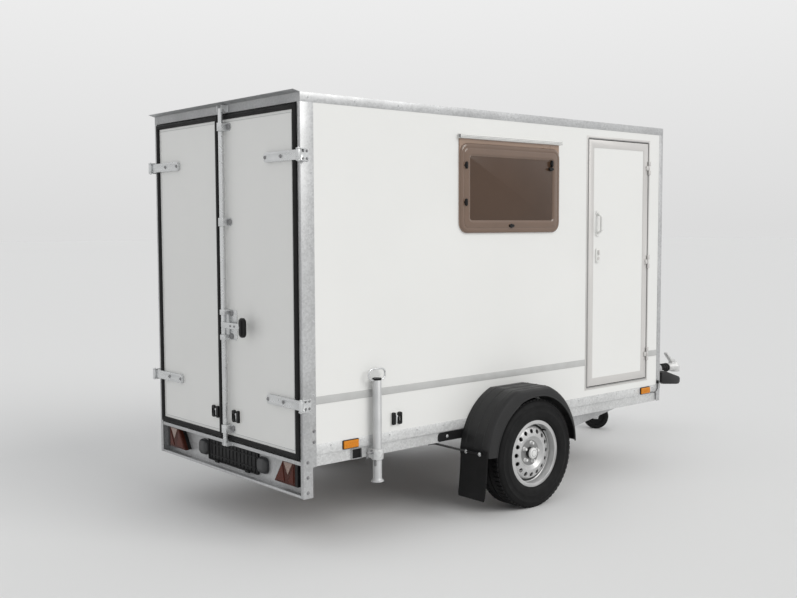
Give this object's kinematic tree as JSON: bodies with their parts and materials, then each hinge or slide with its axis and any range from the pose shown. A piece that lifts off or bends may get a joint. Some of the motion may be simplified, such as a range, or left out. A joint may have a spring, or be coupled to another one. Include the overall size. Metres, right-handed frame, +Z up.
{
  "type": "box trailer",
  "caption": "Single-axle box trailer with rear doors on a lock bar, a side door, a tinted top-hung window, drop legs, jockey wheel and overrun coupling.",
  "frame": {"origin": "middle of the footprint on the ground", "axes": "+X towards the coupling, +Y to the left side, +Z up"},
  "size_m": [4.43, 1.95, 2.31],
  "materials": {
    "galvanised": "spangled zinc",
    "coupling_cast": "satin",
    "panel_white": "white plastic coat on plywood, satin",
    "plywood": "film faced",
    "door_alloy": "satin",
    "white_plastic": "satin",
    "window_tint": "gloss",
    "black_rubber": "matt",
    "black_plastic": "satin",
    "black_steel": "satin",
    "strip_grey": "matt",
    "lens_red": "gloss",
    "lens_amber": "gloss",
    "tyre": "matt",
    "rim_silver": "silver",
    "hub_steel": "cast"
  },
  "bodies": {
    "chassis": {"side_rails": "galvanised", "cross_members": "galvanised", "drawbar_beams": "galvanised", "overrun_housing": "galvanised", "overrun_bellows": "black_rubber", "coupling_head": "coupling_cast", "coupling_handle": "coupling_cast", "handbrake_lever": "black_steel", "brake_rod": "galvanised", "axle_tube": "galvanised", "axle_arms": "galvanised", "mudguards": "black_plastic", "mudflaps": "black_rubber", "guard_stays": "black_steel", "floor_panel": "plywood", "wall_left": "panel_white", "wall_right": "panel_white", "wall_front": "panel_white", "roof_panel": "panel_white", "corner_posts": "galvanised", "roof_edges": "galvanised", "rear_header": "galvanised", "lamp_carrier": "galvanised", "lamp_housings": "black_plastic", "tail_lamp_lenses": "lens_red", "side_markers": "lens_amber", "marker_lead": "black_rubber", "side_strips": "strip_grey", "window_frame": "white_plastic", "window_pane": "window_tint", "side_door_frame": "door_alloy", "leg_clamps": "galvanised", "wall_catches": "black_plastic", "frame_fittings": "galvanised", "jockey_outer_tube": "galvanised"},
    "wheel_left": {"hub_left": "hub_steel", "rim_left": "rim_silver", "tyre_left": "tyre"},
    "wheel_right": {"hub_right": "hub_steel", "rim_right": "rim_silver", "tyre_right": "tyre"},
    "rear_door_left": {"rear_door_left": "panel_white", "rear_door_left_gasket": "black_rubber", "rear_door_left_straps": "galvanised", "rear_door_left_catch": "black_plastic"},
    "rear_door_right": {"rear_door_right": "panel_white", "rear_door_right_gasket": "black_rubber", "rear_door_right_fittings": "galvanised", "rear_door_right_catch": "black_plastic", "lock_bar": "galvanised", "lock_knob": "black_plastic"},
    "side_door": {"side_door_leaf": "panel_white", "side_door_edge": "door_alloy", "side_door_handle": "white_plastic"},
    "leg_left": {"leg_left": "galvanised"},
    "leg_right": {"leg_right": "galvanised"},
    "jockey_slide": {"jockey_inner_tube": "galvanised"},
    "jockey_yoke": {"jockey_fork": "galvanised"},
    "jockey_roller": {"jockey_wheel": "black_rubber"}
  },
  "joints": [
    {"name": "wheel_left_spin", "type": "hinge", "parent": "chassis", "child": "wheel_left", "pos_m": [-0.63813, 0.873, 0.318], "axis": [0, 1, 0], "continuous": true},
    {"name": "wheel_right_spin", "type": "hinge", "parent": "chassis", "child": "wheel_right", "pos_m": [-0.63813, -0.873, 0.318], "axis": [0, 1, 0], "continuous": true},
    {"name": "rear_door_left_swing", "type": "hinge", "parent": "chassis", "child": "rear_door_left", "pos_m": [-2.168, 0.768, 0.753], "axis": [0, 0, -1], "range_deg": [0, 265]},
    {"name": "rear_door_right_swing", "type": "hinge", "parent": "chassis", "child": "rear_door_right", "pos_m": [-2.168, -0.768, 0.753], "axis": [0, 0, 1], "range_deg": [0, 265]},
    {"name": "side_door_swing", "type": "hinge", "parent": "chassis", "child": "side_door", "pos_m": [0.7095, -0.759, 0.771], "axis": [0, 0, 1], "range_deg": [0, 165]},
    {"name": "leg_left_drop", "type": "slide", "parent": "chassis", "child": "leg_left", "axis": [0, 0, -1], "range_m": [0, 0.295]},
    {"name": "leg_right_drop", "type": "slide", "parent": "chassis", "child": "leg_right", "axis": [0, 0, -1], "range_m": [0, 0.295]},
    {"name": "jockey_lift", "type": "slide", "parent": "chassis", "child": "jockey_slide", "axis": [0, 0, 1], "range_m": [0, 0.11]},
    {"name": "jockey_swivel", "type": "hinge", "parent": "jockey_slide", "child": "jockey_yoke", "pos_m": [1.507, 0.2348, 0.218], "axis": [0, 0, 1], "continuous": true},
    {"name": "jockey_roll", "type": "hinge", "parent": "jockey_yoke", "child": "jockey_roller", "pos_m": [1.48119, 0.27166, 0.1], "axis": [0.8192, 0.5736, 0], "continuous": true}
  ]
}
